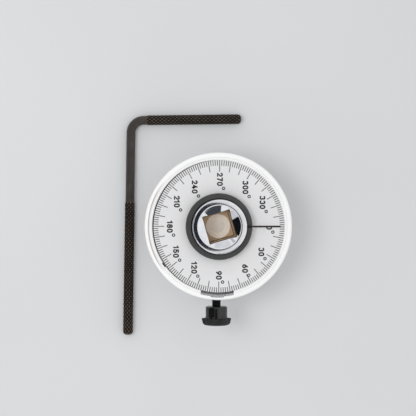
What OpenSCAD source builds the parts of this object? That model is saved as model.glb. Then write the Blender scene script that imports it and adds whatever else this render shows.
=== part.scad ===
// Torque angle gauge: a square drive turns through a fixed round dial, a settable pointer
// rides on the drive's head, and a bent rod clamped in the case keeps the dial still.
// Millimetres, +Z up. The origin is the centre of the male square's end face.
// Zero on the scale is at +X, the clamp knob is at -Y, and the bent rod lies beside the case.

/* [Square drive] */
// Width across the flats of the male square
square_af = 12.7; // [11.5:0.1:13.5]
// How much wider the socket's square is than the male square
socket_play = 0.3; // [0.1:0.05:0.6]
// Length of the male square
male_length = 15; // [13:0.5:20]
// Height of the bevel round the male square's end
male_bevel = 1.2; // [0.6:0.1:2]
// How far the bevel starts inside the male square's flats
bevel_inset = 0.2; // [0.1:0.1:0.6]
// How much is turned off the corners of the male square
corner_cut = 0.8; // [0.3:0.1:1.4]
// Depth of the square socket below the top of the head
socket_depth = 12.5; // [10:0.5:14]
// Corner radius of the socket's square
socket_corner_r = 0.5; // [0.3:0.1:1.6]
// Diameter of the drilled hole at the bottom of the socket
drill_d = 11.6; // [9:0.1:12]
// Diameter of the flat at the bottom of the drilled hole
drill_flat_d = 6.6; // [3:0.1:8]
// Depth of the drilled hole below the square's floor
drill_depth = 1.5; // [0.5:0.1:2.5]
// Angle at which the drive stands at rest
drive_angle = 15.7; // [0:0.1:45]

/* [Drive shaft] */
// Wall between the corners of the socket and the journal
journal_wall = 2; // [1.5:0.1:4]
// Bevel at the lower end of the journal
journal_bevel = 0.5; // [0.2:0.1:1]
// How far the head stands out over the journal, on the radius
head_step = 2.3; // [1.5:0.1:4]
// Height of the head's top above the dial
head_rise = 9; // [7:0.5:14]
// Rounding of the head's outer edge
head_round = 1; // [0.4:0.1:2]
// Width of the lip round the dish, on the radius
lip_width = 2.9; // [1.5:0.1:3.5]
// Radius of the ball that the dish is cut with
dish_ball_r = 16; // [14:0.5:30]

/* [Detent] */
// Diameter of the detent ball
ball_d = 5; // [4:0.1:6]
// How far the ball stands out of the male square's flat
ball_proud = 1.1; // [0.5:0.1:1.5]
// Height of the ball above the male square's end
ball_height = 7; // [6:0.1:9]
// How far the ball's hole runs past the drive axis
ball_hole_past = 3; // [2:0.1:4]
// Wire diameter of the detent spring
spring_wire = 0.6; // [0.4:0.05:0.8]
// Room between the detent spring and its hole, on the radius
spring_play = 0.25; // [0.1:0.05:0.5]
// Turns of the detent spring
spring_turns = 4; // [3:1:5]

/* [Fits] */
// Running clearance, on the radius
running_play = 0.05; // [0.02:0.01:0.1]
// Clearance between faces that slide on each other
face_play = 0.05; // [0.02:0.01:0.1]
// Clearance between pieces that are fixed together
seat_play = 0.02; // [0.01:0.01:0.05]

/* [Bush and washers] */
// Wall of the bush
bush_wall = 1.5; // [1:0.1:3]
// How far the bush's flange stands out, on the radius
flange_step = 0.6; // [0.4:0.1:1.2]
// Thickness of the thrust washer under the head
thrust_t = 0.5; // [0.3:0.1:1]
// Thickness of the washer behind the case
backing_t = 0.8; // [0.5:0.1:1.5]
// Width of the washer behind the case, on the radius
backing_w = 3.5; // [2.5:0.1:5]
// Thickness of the spring washer's strip
wave_t = 0.4; // [0.2:0.05:0.6]
// Height of the spring washer over its waves
wave_h = 1.2; // [0.8:0.1:2]
// Width of the spring washer, on the radius
wave_w = 2.6; // [1.5:0.1:4]
// Waves round the spring washer
wave_count = 3; // [3:1:5]
// Room between the loose washers and the journal, on the radius
washer_play = 0.25; // [0.1:0.05:0.5]
// Thickness of the retaining ring
clip_t = 1.2; // [0.8:0.1:1.6]
// Width of the retaining ring, on the radius
clip_w = 2.3; // [1.5:0.1:3.5]
// Depth of the retaining ring's groove, on the radius
clip_groove = 0.6; // [0.3:0.05:1]
// Gap between the retaining ring's ends
clip_gap = 4; // [2:0.5:6]
// Radius of the ears at the retaining ring's ends
clip_ear_r = 1.7; // [1.2:0.1:2.2]
// Diameter of the plier holes in the ears
clip_hole_d = 1.4; // [0.8:0.1:1.8]
// Journal that is left below the retaining ring
clip_land = 1.6; // [1:0.1:3]

/* [Case] */
// Outer diameter of the case
case_d = 72.4; // [66:0.1:84]
// Height of the case
case_h = 13; // [12:0.5:18]
// Floor of the case
floor_t = 2.2; // [1.6:0.1:3]
// Width of the case's rim outside the bezel, on the radius
rim_w = 2.6; // [1.9:0.05:3]
// Rounding of the case's back edge
back_round = 3; // [1:0.1:3.5]
// Rounding of the rim's front edge
front_round = 1.2; // [0.4:0.1:1.6]
// Bevel of the rim's edge beside the bezel
rim_bevel = 0.45; // [0.1:0.05:0.5]
// Wall of the boss round the bush
boss_wall = 2.5; // [1.5:0.1:4]
// Ribs round the inside of the case, under the dial's edge
rib_count = 12; // [8:1:16]
// Thickness of a rib
rib_t = 1.6; // [1:0.1:2.4]
// How far a rib stands in from the wall
rib_depth = 2.5; // [1.5:0.1:4]

/* [Dial and bezel] */
// Thickness of the dial plate
dial_t = 1; // [0.6:0.1:1.6]
// How far the dial's face lies below the rim's front
dial_recess = 1.2; // [0.8:0.1:2]
// Room round the dial plate, on the radius
dial_play = 0.1; // [0.05:0.05:0.3]
// How far the bezel covers the dial's edge
dial_cover = 0.4; // [0.2:0.1:1]
// Width of the step that the bezel sits on
bezel_seat = 0.6; // [0.5:0.05:1.2]
// How far the bezel stands out over the rim's front
bezel_proud = 0.05; // [0:0.05:0.6]
// Bevel of the bezel's inner edge
bezel_bevel = 0.5; // [0.2:0.1:0.7]
// Bevel of the bezel's outer edge
bezel_edge = 0.1; // [0.05:0.05:0.25]
// Scale reading at which the bezel has its pry notch
pry_reading = 145; // [100:1:170]
// Width of the pry notch
pry_w = 2.6; // [1:0.1:4]
// How deep the pry notch goes into the bezel, on the radius
pry_depth = 0.7; // [0.4:0.1:0.8]

/* [Pointer] */
// Room between the collar and the head, on the radius
collar_play = 0.35; // [0.3:0.05:0.8]
// Wall of the collar
collar_wall = 2.6; // [2:0.1:4]
// Height of the collar
collar_h = 4.4; // [3:0.1:6]
// Gap between the collar and the dial
collar_gap = 0.6; // [0.3:0.1:1.5]
// Bevel on the collar's edges
collar_bevel = 0.3; // [0.1:0.1:0.6]
// Section of the rubber ring inside the collar
friction_d = 1.4; // [1:0.1:1.8]
// Diameter of the needle
needle_d = 0.9; // [0.6:0.05:1.2]
// Depth of the needle's slot in the collar
slot_depth = 1.1; // [0.6:0.1:1.4]
// Room beside the needle in its slot
slot_play = 0.15; // [0.1:0.05:0.4]
// Distance from the needle's tip to the bezel
tip_gap = 2.4; // [1:0.1:6]
// Length of the needle's pointed tip
tip_length = 0.5; // [0.3:0.1:2]
// Distance from the collar's bore to the needle's inner end
needle_inset = 0.3; // [0.1:0.1:1]

/* [Rod clamp] */
// How far the clamp stands to the side of the drive axis
clamp_x = -0.7; // [-2:0.1:2]
// Width of the clamp block
clamp_w = 16.2; // [12:0.2:20]
// Case wall that is left outside the clamp block
clamp_skin = 1.8; // [1.2:0.1:2]
// Length of the thread in the clamp block
thread_length = 4.3; // [3:0.1:6]
// Clamp block that is left inside the rod's bore
inner_land = 3.9; // [3.5:0.1:6]
// Room between the clamp block and the dial
block_gap = 0.3; // [0.2:0.1:0.6]
// Thickness of the tongue that shows in the rim
tongue_t = 1; // [0.6:0.1:1.2]
// How far the tongue ends below the rim's front
tongue_recess = 0.4; // [0.2:0.1:1]
// Gap between the tongue and the dial
tongue_gap = 1; // [0.5:0.1:1.5]
// Depth of the groove behind the tongue
tongue_groove = 1.5; // [0.5:0.1:2]
// Width of the relief in the case outside the tongue
relief_w = 6.4; // [4:0.2:10]
// How far that relief goes into the case wall
relief_gap = 0.5; // [0.2:0.1:0.7]
// Depth of that relief below the rim's front
relief_depth = 2; // [1:0.1:3]
// Room round the rod in its bore, on the radius
rod_play = 0.1; // [0.06:0.01:0.3]
// Further room round the rod in the case's side holes, on the radius
window_play = 0.3; // [0.2:0.1:0.6]
// Diameter of the clamp screw
screw_d = 4.2; // [3:0.1:5]
// Room round the clamp screw in the case wall, on the radius
screw_room = 0.3; // [0.2:0.1:0.6]
// Diameter of the pressure pad
pad_d = 3.3; // [2.4:0.1:3.6]
// Thickness of the pressure pad
pad_t = 1.2; // [0.8:0.1:1.6]
// How far the pressure pad rests back from the rod's bore
pad_back = 0.2; // [0.1:0.1:0.6]
// Diameter of the pressure pad's stem
stem_d = 1.6; // [1:0.1:1.8]
// Length of the pressure pad's stem
stem_length = 1.8; // [1:0.1:3]
// Diameter of the screws that hold the clamp block
fix_d = 2.4; // [2:0.1:3]
// Head diameter of those screws
fix_head_d = 4; // [3.6:0.1:4.2]
// Head height of those screws
fix_head_h = 1.3; // [0.8:0.1:1.4]
// Length of those screws, with the head
fix_length = 6.5; // [5:0.5:7.5]
// Distance between those screws
fix_spacing = 10; // [8:0.5:11]
// Room round the screws in the case floor, on the radius
fix_room = 0.2; // [0.1:0.1:0.4]
// Width of the cross recess in those screws
cross_w = 0.6; // [0.4:0.1:0.8]
// Length of the cross recess in those screws
cross_l = 2.4; // [1.6:0.1:3]
// Depth of the cross recess in those screws
cross_depth = 0.8; // [0.4:0.1:1]

/* [Thumb knob] */
// Length of screw that shows between the case and the knob
neck_length = 3.5; // [2.5:0.1:6]
// Diameter of the knob's body
knob_d = 11; // [9:0.1:13]
// Length of the knob's body
knob_length = 5.9; // [4:0.1:10]
// Rounding of the knob's shoulder
knob_round = 0.9; // [0.3:0.1:1.4]
// Diameter of the knob's flange
knob_flange_d = 14.6; // [12:0.1:20]
// Length of the knob's flange
knob_flange_l = 3.4; // [3:0.1:6]
// Rounding of the flange's outer edge
flange_round = 1.9; // [1:0.1:2.4]
// How much the flange narrows towards its end, on the radius
flange_taper = 0.5; // [0.1:0.1:1]
// Lobes round the flange
lobe_count = 6; // [4:1:8]
// Radius of the hollows between the lobes
lobe_hollow_r = 2.4; // [1.5:0.1:3]
// Depth of the hollows between the lobes
lobe_depth = 1.1; // [0.5:0.1:1.6]
// Flutes round the knob's body
flute_count = 6; // [4:1:18]
// Radius of a flute
flute_r = 1.8; // [0.5:0.1:2.4]
// Depth of a flute
flute_depth = 0.7; // [0.2:0.05:1]
// Plain length of the body between the flutes and the flange
flute_land = 0.6; // [0.3:0.1:1.5]
// Plastic that is left over the end of the screw in the knob
knob_cap = 2.4; // [1.5:0.1:4]

/* [Bent rod] */
// Diameter of the plain part of the rod
rod_d = 4.5; // [4:0.1:5.6]
// How much larger the knurled part is, on the diameter
knurl_rise = 0.5; // [0.1:0.05:0.6]
// Length of the long leg from the corner
long_leg = 109; // [80:1:160]
// Length of the short leg from the corner
short_leg = 56; // [40:1:90]
// Plain part of the long leg from the corner
long_plain = 41.5; // [20:0.5:60]
// Plain part of the short leg from the corner
short_plain = 8; // [7.5:0.5:20]
// Centre-line radius of the bend
bend_r = 6.5; // [5:0.1:7]
// Angle through which the rod is bent
bend_angle = 88.2; // [80:0.1:95]
// How much the bending swells the rod there, on the diameter
bend_swell = 0.04; // [0.03:0.01:0.1]
// Rounding of the rod's ends
rod_round = 1.8; // [0.5:0.1:1.9]
// Length of the step from plain to knurled
knurl_step = 0.4; // [0.2:0.1:1]
// Distance from the case's side to the rod's corner
rod_side_gap = 6.3; // [4:0.1:20]
// Distance from the case's top edge to the rod's corner
rod_top_gap = 16.7; // [10:0.1:30]
// Angle at which the rod lies
rod_angle = -0.95; // [-5:0.05:5]

/* [Hidden] */
$fn = 96;
// Steps of a quarter-round edge
round_steps = 8;
// Overlap of shapes that are joined, and overrun of cuts
bond = 0.4;
over = 1;

socket_side = square_af + socket_play;
socket_half_diagonal = (socket_side / 2 - socket_corner_r) * sqrt(2) + socket_corner_r;
journal_r = socket_half_diagonal + journal_wall;
head_r = journal_r + head_step;
male_corner_r = square_af / sqrt(2) - corner_cut;
male_end_r = square_af / 2 - bevel_inset;
clip_groove_r = journal_r - clip_groove;
bush_bore_r = journal_r + running_play;
bush_r = bush_bore_r + bush_wall;
bush_flange_r = bush_r + flange_step;
boss_r = bush_r + boss_wall;
dial_hole_r = bush_flange_r + dial_play;
washer_bore_r = journal_r + washer_play;

// Heights, from the male square's end upwards
clip_z = male_length + clip_land;
wave_z = clip_z + clip_t;
backing_z = wave_z + wave_h + face_play;
case_z0 = backing_z + backing_t;
case_z1 = case_z0 + case_h;
floor_z = case_z0 + floor_t;
dial_z1 = case_z1 - dial_recess;
dial_z0 = dial_z1 - dial_t;
head_z0 = dial_z1 + thrust_t + face_play;
head_z1 = dial_z1 + head_rise;
socket_z = head_z1 - socket_depth;
collar_z0 = dial_z1 + collar_gap;
collar_z1 = collar_z0 + collar_h;
needle_z = collar_z1 - slot_depth + needle_d / 2;

// Radii of the case, from the outside inwards
case_r = case_d / 2;
bezel_pocket_r = case_r - rim_w;
bezel_r = bezel_pocket_r - seat_play;
cavity_r = bezel_pocket_r - bezel_seat;
dial_r = cavity_r - dial_play;
bezel_bore_r = dial_r - dial_cover;
dish_mouth_r = head_r - lip_width;
dish_ball_z = head_z1 + sqrt(pow(dish_ball_r, 2) - pow(dish_mouth_r, 2));
collar_bore_r = head_r + collar_play;
collar_r = collar_bore_r + collar_wall;
friction_ring_r = head_r + running_play + friction_d / 2;
needle_r0 = collar_bore_r + needle_inset;
needle_r1 = bezel_bore_r - tip_gap;

// Clamp, as distances from the drive axis along -Y
knurl_d = rod_d + knurl_rise;
rod_bore_r = knurl_d / 2 + rod_play;
block_r = case_r - clamp_skin;
tongue_r = block_r - tongue_t;
rod_bore_y = block_r - thread_length - rod_bore_r;
block_y = rod_bore_y - rod_bore_r - inner_land;
fix_y = block_y + inner_land / 2;
block_z1 = dial_z0 - block_gap;
clamp_z = (floor_z + block_z1) / 2;
pad_y = rod_bore_y + rod_bore_r + pad_back;
screw_tip_y = pad_y + pad_t + face_play;
knob_y = case_r + neck_length;
screw_end_y = knob_y + knob_length + knob_flange_l - knob_cap;

// Detent, as distances from the drive axis
ball_x = square_af / 2 + ball_proud - ball_d / 2;
ball_hole_r = ball_d / 2 + running_play;
coil_r = ball_hole_r - spring_play - spring_wire / 2;
spring_x0 = spring_wire / 2 - ball_hole_past;
ball_reach = ball_d / 2 + spring_wire / 2 + face_play;
spring_x1 = ball_x - sqrt(pow(ball_reach, 2) - pow(coil_r, 2));

// Bent rod
bend_tangent = bend_r * tan(bend_angle / 2);
rod_corner = [-case_r - rod_side_gap, case_r + rod_top_gap, knurl_d / 2];

// Points of a round edge about [x, y], from angle a0 to angle a1
function round_edge(x, y, r, a0, a1) =
    [for (i = [0:round_steps])
        let (a = a0 + (a1 - a0) * i / round_steps) [x + r * cos(a), y + r * sin(a)]];

// Faces that join rings of points into a tube; a closed tube meets its own first ring
function tube_faces(rings, sides, closed) = concat(
    [for (i = [0:rings - (closed ? 1 : 2)], k = [0:sides - 1])
        let (a = i * sides, b = (i + 1) % rings * sides, n = (k + 1) % sides)
            [a + k, a + n, b + n, b + k]],
    closed ? [] : [
        [for (k = [sides - 1:-1:0]) k],
        [for (k = [0:sides - 1]) (rings - 1) * sides + k]
    ]);

// Square outline with round corners
module round_square(side, r) {
    square([side, side - 2 * r], center = true);
    square([side - 2 * r, side], center = true);
    for (x = [-1, 1], y = [-1, 1])
        translate([x, y] * (side / 2 - r)) circle(r);
}

// Flat ring from z upwards
module flat_ring(z, r_in, r_out, t) {
    translate([0, 0, z]) difference() {
        cylinder(r = r_out, h = t);
        translate([0, 0, -over]) cylinder(r = r_in, h = t + 2 * over);
    }
}

// Stands its child on the clamp screw's axis, pointing outwards, at distance y from the drive axis
module on_clamp_axis(y) {
    translate([clamp_x, -y, clamp_z]) rotate([90, 0, 0]) children();
}

// Stretch of the clamp side between two radii, as wide as w
module clamp_arc(w, r_in, r_out, z0, z1) {
    intersection() {
        flat_ring(z0, r_in, r_out, z1 - z0);
        translate([clamp_x - w / 2, -r_out - over, z0]) cube([w, r_out + over, z1 - z0]);
    }
}

// Places its children at the screws that hold the clamp block
module at_fix_screws() {
    for (x = [-1, 1])
        translate([clamp_x + x * fix_spacing / 2, -fix_y, case_z0]) children();
}

// Male square with turned corners and a bevelled end
module male_square() {
    intersection() {
        translate([-square_af / 2, -square_af / 2, 0])
            cube([square_af, square_af, male_length + bond]);
        rotate_extrude() polygon([
            [0, 0], [male_end_r, 0], [male_corner_r, male_bevel],
            [male_corner_r, male_length + bond], [0, male_length + bond]
        ]);
    }
}

// Turned journal and head, with the retaining ring's groove
module journal_and_head() {
    rotate_extrude() polygon(concat(
        [
            [0, male_length], [journal_r - journal_bevel, male_length],
            [journal_r, male_length + journal_bevel], [journal_r, clip_z - face_play],
            [clip_groove_r, clip_z - face_play], [clip_groove_r, wave_z],
            [journal_r, wave_z], [journal_r, head_z0], [head_r, head_z0]
        ],
        round_edge(head_r - head_round, head_z1 - head_round, head_round, 0, 90),
        [[0, head_z1]]
    ));
}

// Square socket with a drilled bottom and a polished dish round its mouth
module socket_cut() {
    translate([0, 0, socket_z])
        linear_extrude(socket_depth + over) round_square(socket_side, socket_corner_r);
    translate([0, 0, socket_z - drill_depth])
        cylinder(d1 = drill_flat_d, d2 = drill_d, h = drill_depth);
    translate([0, 0, dish_ball_z]) sphere(dish_ball_r);
}

module drive_shaft() {
    color("silver") rotate(drive_angle) difference() {
        union() {
            male_square();
            journal_and_head();
        }
        socket_cut();
        translate([-ball_hole_past, 0, ball_height]) rotate([0, 90, 0])
            cylinder(r = ball_hole_r, h = ball_hole_past + square_af);
    }
}

module detent_ball() {
    color("gainsboro") rotate(drive_angle)
        translate([ball_x, 0, ball_height]) sphere(d = ball_d);
}

module detent_spring() {
    sides = 8;
    steps = spring_turns * 18;
    rings = [for (i = [0:steps]) let (
        turn = 360 * spring_turns * i / steps,
        x = spring_x0 + (spring_x1 - spring_x0) * i / steps
    ) for (k = [0:sides - 1]) let (
        a = 360 * k / sides,
        r = coil_r + spring_wire / 2 * cos(a)
    ) [x + spring_wire / 2 * sin(a), r * cos(turn), r * sin(turn)]];
    color("dimgray") rotate(drive_angle) translate([0, 0, ball_height])
        polyhedron(rings, tube_faces(steps + 1, sides, false));
}

// Open spring ring with two ears for pliers
module retaining_ring() {
    clip_bore_r = clip_groove_r + seat_play;
    ear_y = clip_bore_r + clip_ear_r;
    ear_x = clip_gap / 2 + clip_ear_r;
    color("slategray") difference() {
        union() {
            difference() {
                flat_ring(clip_z, clip_bore_r, clip_bore_r + clip_w, clip_t);
                translate([-clip_gap / 2, 0, clip_z - over])
                    cube([clip_gap, journal_r + 2 * clip_w, clip_t + 2 * over]);
            }
            for (x = [-ear_x, ear_x])
                translate([x, ear_y, clip_z]) cylinder(r = clip_ear_r, h = clip_t);
        }
        for (x = [-ear_x, ear_x])
            translate([x, ear_y, clip_z - over]) cylinder(d = clip_hole_d, h = clip_t + 2 * over);
        translate([0, 0, clip_z - over]) cylinder(r = clip_bore_r, h = clip_t + 2 * over);
    }
}

// Spring washer bent into waves
module wave_washer() {
    steps = wave_count * 20;
    section = [[0, 0], [wave_w, 0], [wave_w, wave_t], [0, wave_t]];
    rings = [for (i = [0:steps - 1]) let (
        a = 360 * i / steps,
        z = wave_z + (wave_h - wave_t) * (1 - cos(a * wave_count)) / 2
    ) for (p = section) let (r = washer_bore_r + p[0]) [r * cos(a), r * sin(a), z + p[1]]];
    color("lightsteelblue") polyhedron(rings, tube_faces(steps, len(section), true));
}

module backing_washer() {
    color("silver")
        flat_ring(backing_z, washer_bore_r, washer_bore_r + backing_w, backing_t);
}

module hub_bush() {
    color("peru") difference() {
        union() {
            translate([0, 0, case_z0]) cylinder(r = bush_r, h = dial_z1 - case_z0);
            translate([0, 0, dial_z0]) cylinder(r = bush_flange_r, h = dial_t);
        }
        translate([0, 0, case_z0 - over]) cylinder(r = bush_bore_r, h = case_h);
    }
}

module thrust_washer() {
    color("ivory") flat_ring(dial_z1, washer_bore_r, bush_flange_r, thrust_t);
}

// Moulded round case: floor, wall, rim with the bezel's step, and boss for the bush
module case_shell() {
    bush_seat_r = bush_r + seat_play;
    rotate_extrude() polygon(concat(
        [[bush_seat_r, case_z0]],
        round_edge(case_r - back_round, case_z0 + back_round, back_round, -90, 0),
        round_edge(case_r - front_round, case_z1 - front_round, front_round, 0, 90),
        [
            [bezel_pocket_r + rim_bevel, case_z1], [bezel_pocket_r, case_z1 - rim_bevel],
            [bezel_pocket_r, dial_z1],
            [cavity_r, dial_z1], [cavity_r, floor_z],
            [boss_r, floor_z], [boss_r, dial_z0], [bush_seat_r, dial_z0]
        ]
    ));
}

// Ribs that carry the dial's edge, left out where the clamp block stands
module case_ribs() {
    spacing = 360 / rib_count;
    clamp_half_angle = asin((clamp_w / 2 + abs(clamp_x) + rib_t) / (cavity_r - rib_depth));
    for (i = [0:rib_count - 1]) {
        a = (i + 0.5) * spacing;
        if (abs(a - 270) > clamp_half_angle)
            rotate(a) translate([cavity_r - rib_depth, -rib_t / 2, floor_z - bond])
                cube([rib_depth + bond, rib_t, dial_z0 - floor_z + bond]);
    }
}

module case_body() {
    color("whitesmoke") difference() {
        union() {
            case_shell();
            case_ribs();
        }
        // Pocket of the clamp block, open at the front of the rim
        clamp_arc(clamp_w + 2 * seat_play, block_y, block_r + seat_play, floor_z, case_z1 + over);
        // Relief outside the tongue, over the clamp screw
        clamp_arc(relief_w, block_r, block_r + relief_gap, case_z1 - relief_depth, case_z1 + over);
        // Side holes that the rod passes through
        translate([-case_d / 2, -rod_bore_y, clamp_z]) rotate([0, 90, 0])
            cylinder(r = rod_bore_r + window_play, h = case_d);
        // Hole of the clamp screw
        on_clamp_axis(cavity_r - over)
            cylinder(d = screw_d + 2 * screw_room, h = case_r - cavity_r + 2 * over);
        // Holes of the screws that hold the clamp block
        at_fix_screws() {
            translate([0, 0, -over]) cylinder(d = fix_d + 2 * fix_room, h = floor_t + 2 * over);
            translate([0, 0, -over]) cylinder(d = fix_head_d + 2 * fix_room, h = fix_head_h + over);
        }
    }
}

// Ring that holds the dial in the case, cut away over the clamp and notched for prying off
module bezel_ring() {
    bezel_z1 = case_z1 + bezel_proud;
    color("white") difference() {
        rotate_extrude() polygon([
            [bezel_bore_r, dial_z1], [bezel_r, dial_z1], [bezel_r, bezel_z1 - bezel_edge],
            [bezel_r - bezel_edge, bezel_z1], [bezel_bore_r + bezel_bevel, bezel_z1],
            [bezel_bore_r, bezel_z1 - bezel_bevel]
        ]);
        translate([clamp_x - clamp_w / 2 - seat_play, -case_r, dial_z1 - over])
            cube([clamp_w + 2 * seat_play, case_r, bezel_proud + dial_recess + 2 * over]);
        rotate(-pry_reading) translate([bezel_bore_r - over, -pry_w / 2, dial_z1 - over])
            cube([pry_depth + over, pry_w, bezel_proud + dial_recess + 2 * over]);
    }
}

// Dial disc, cut back from the tongue of the clamp block and notched under the pry notch
module dial_plate() {
    color("lightgray") difference() {
        flat_ring(dial_z0, dial_hole_r, dial_r, dial_t);
        clamp_arc(clamp_w + 2 * seat_play, tongue_r - tongue_gap, case_r,
            dial_z0 - over, dial_z1 + over);
        rotate(-pry_reading) translate([bezel_bore_r, dial_play - pry_w / 2, dial_z0 - over])
            cube([dial_cover + over, pry_w - 2 * dial_play, dial_t + 2 * over]);
    }
}

// Collar that turns on the head, with a slot for the needle and a groove for the rubber ring
module pointer_ring() {
    groove_r = friction_ring_r + friction_d / 2 + seat_play;
    groove_half = friction_d / 2 + seat_play;
    groove_z = (collar_z0 + collar_z1 - slot_depth) / 2;
    slot_w = needle_d + 2 * slot_play;
    color("dimgray") difference() {
        rotate_extrude() polygon([
            [collar_bore_r, collar_z0], [collar_r - collar_bevel, collar_z0],
            [collar_r, collar_z0 + collar_bevel], [collar_r, collar_z1 - collar_bevel],
            [collar_r - collar_bevel, collar_z1], [collar_bore_r + collar_bevel, collar_z1],
            [collar_bore_r, collar_z1 - collar_bevel], [collar_bore_r, groove_z + groove_half],
            [groove_r, groove_z + groove_half], [groove_r, groove_z - groove_half],
            [collar_bore_r, groove_z - groove_half]
        ]);
        translate([0, -slot_w / 2, collar_z1 - slot_depth])
            cube([collar_r + over, slot_w, slot_depth + over]);
    }
}

module friction_ring() {
    color("black") translate([0, 0, (collar_z0 + collar_z1 - slot_depth) / 2])
        rotate_extrude() translate([friction_ring_r, 0]) circle(d = friction_d, $fn = 24);
}

module pointer_needle() {
    color("black") translate([needle_r0, 0, needle_z]) rotate([0, 90, 0])
        rotate_extrude($fn = 24) polygon([
            [0, 0], [needle_d / 2, 0], [needle_d / 2, needle_r1 - needle_r0 - tip_length],
            [needle_d / 4, needle_r1 - needle_r0], [0, needle_r1 - needle_r0]
        ]);
}

// Block that takes the rod across the case; its tongue shows in the notch of the rim
module rod_clamp_block() {
    color("lightslategray") difference() {
        union() {
            clamp_arc(clamp_w, block_y, block_r, floor_z, block_z1);
            clamp_arc(clamp_w, tongue_r, block_r, block_z1 - bond, case_z1 - tongue_recess);
        }
        translate([clamp_x - clamp_w / 2 - over, -rod_bore_y, clamp_z]) rotate([0, 90, 0])
            cylinder(r = rod_bore_r, h = clamp_w + 2 * over);
        on_clamp_axis(rod_bore_y)
            cylinder(d = screw_d + 2 * running_play, h = thread_length + rod_bore_r + over);
        clamp_arc(clamp_w + over, tongue_r - tongue_gap, tongue_r,
            block_z1 - tongue_groove, block_z1 + over);
        at_fix_screws() cylinder(d = fix_d + 2 * seat_play, h = fix_length + seat_play);
    }
}

module clamp_block_screws() {
    color("gray") at_fix_screws() difference() {
        union() {
            cylinder(d = fix_head_d, h = fix_head_h);
            cylinder(d = fix_d, h = fix_length);
        }
        for (a = [0, 90])
            rotate(a) translate([-cross_l / 2, -cross_w / 2, -over])
                cube([cross_l, cross_w, cross_depth + over]);
    }
}

module pressure_pad() {
    color("goldenrod") on_clamp_axis(pad_y) {
        cylinder(d = pad_d, h = pad_t);
        cylinder(d = stem_d, h = pad_t + stem_length);
    }
}

module clamp_screw() {
    color("darkslategray") on_clamp_axis(screw_tip_y) difference() {
        cylinder(d = screw_d, h = screw_end_y - screw_tip_y);
        translate([0, 0, -over])
            cylinder(d = stem_d + 2 * running_play, h = stem_length + face_play + over);
    }
}

// Fluted knob with a lobed flange
module thumb_knob() {
    knob_r = knob_d / 2;
    flange_r = knob_flange_d / 2;
    knob_h = knob_length + knob_flange_l;
    color("black") on_clamp_axis(knob_y) difference() {
        rotate_extrude() polygon(concat(
            [[0, 0]],
            round_edge(knob_r - knob_round, knob_round, knob_round, -90, 0),
            [[knob_r, knob_length], [flange_r, knob_length]],
            round_edge(flange_r - flange_taper - flange_round, knob_h - flange_round, flange_round, 0, 90),
            [[0, knob_h]]
        ));
        for (i = [0:lobe_count - 1])
            rotate(90 + i * 360 / lobe_count)
                translate([flange_r + lobe_hollow_r - lobe_depth, 0, knob_length - bond])
                    cylinder(r = lobe_hollow_r, h = knob_flange_l + bond + over);
        for (i = [0:flute_count - 1])
            rotate(i * 360 / flute_count) translate([knob_r + flute_r - flute_depth, 0, -over])
                cylinder(r = flute_r, h = knob_length - flute_land + over);
        translate([0, 0, -over])
            cylinder(d = screw_d + 2 * seat_play, h = screw_end_y - knob_y + seat_play + over);
    }
}

// Straight leg of the rod along +Z, from the bend to its rounded end
module rod_leg(plain, length) {
    plain_r = rod_d / 2;
    knurl_r = knurl_d / 2;
    rotate_extrude() polygon(concat(
        [
            [0, bend_tangent - bond], [plain_r, bend_tangent - bond],
            [plain_r, plain], [knurl_r, plain + knurl_step]
        ],
        round_edge(knurl_r - rod_round, length - rod_round, rod_round, 0, 90),
        [[0, length]]
    ));
}

module reaction_rod() {
    color("darkslategray") translate(rod_corner) rotate(rod_angle) {
        rotate([90, 0, 0]) rod_leg(long_plain, long_leg);
        rotate(90 - bend_angle) rotate([0, 90, 0]) rod_leg(short_plain, short_leg);
        translate([bend_r, -bend_tangent, 0]) rotate(180 - bend_angle)
            rotate_extrude(angle = bend_angle) translate([bend_r, 0]) circle(d = rod_d + bend_swell);
    }
}

drive_shaft();
detent_ball();
detent_spring();
retaining_ring();
wave_washer();
backing_washer();
hub_bush();
thrust_washer();
case_body();
bezel_ring();
dial_plate();
pointer_ring();
friction_ring();
pointer_needle();
rod_clamp_block();
clamp_block_screws();
pressure_pad();
clamp_screw();
thumb_knob();
reaction_rod();
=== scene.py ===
"""Torque angle gauge on a pale studio floor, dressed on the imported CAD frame.

Sizes are written in millimetres and turned into metres with MM. +Z is up, zero on the scale is at
+X, and the clamp knob is at -Y.
"""
import math

import bmesh
import bpy
from mathutils import Matrix, Vector


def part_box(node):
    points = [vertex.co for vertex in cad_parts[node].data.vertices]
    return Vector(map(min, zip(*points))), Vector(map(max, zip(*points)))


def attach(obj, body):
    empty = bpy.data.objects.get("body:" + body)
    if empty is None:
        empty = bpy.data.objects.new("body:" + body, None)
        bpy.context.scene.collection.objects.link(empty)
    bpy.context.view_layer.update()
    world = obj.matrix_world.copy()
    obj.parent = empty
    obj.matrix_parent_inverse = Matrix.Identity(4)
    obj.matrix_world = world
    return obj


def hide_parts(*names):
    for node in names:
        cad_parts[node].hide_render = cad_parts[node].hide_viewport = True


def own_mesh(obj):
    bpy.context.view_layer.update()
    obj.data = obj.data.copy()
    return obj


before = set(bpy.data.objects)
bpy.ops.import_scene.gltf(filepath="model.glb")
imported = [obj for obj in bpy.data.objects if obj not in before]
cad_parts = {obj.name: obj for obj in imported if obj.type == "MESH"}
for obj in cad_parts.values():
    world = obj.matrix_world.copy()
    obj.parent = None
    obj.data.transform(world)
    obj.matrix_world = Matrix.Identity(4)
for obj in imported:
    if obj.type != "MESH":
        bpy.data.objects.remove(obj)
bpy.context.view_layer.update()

MM = 0.001
TURN = 2 * math.pi

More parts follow.
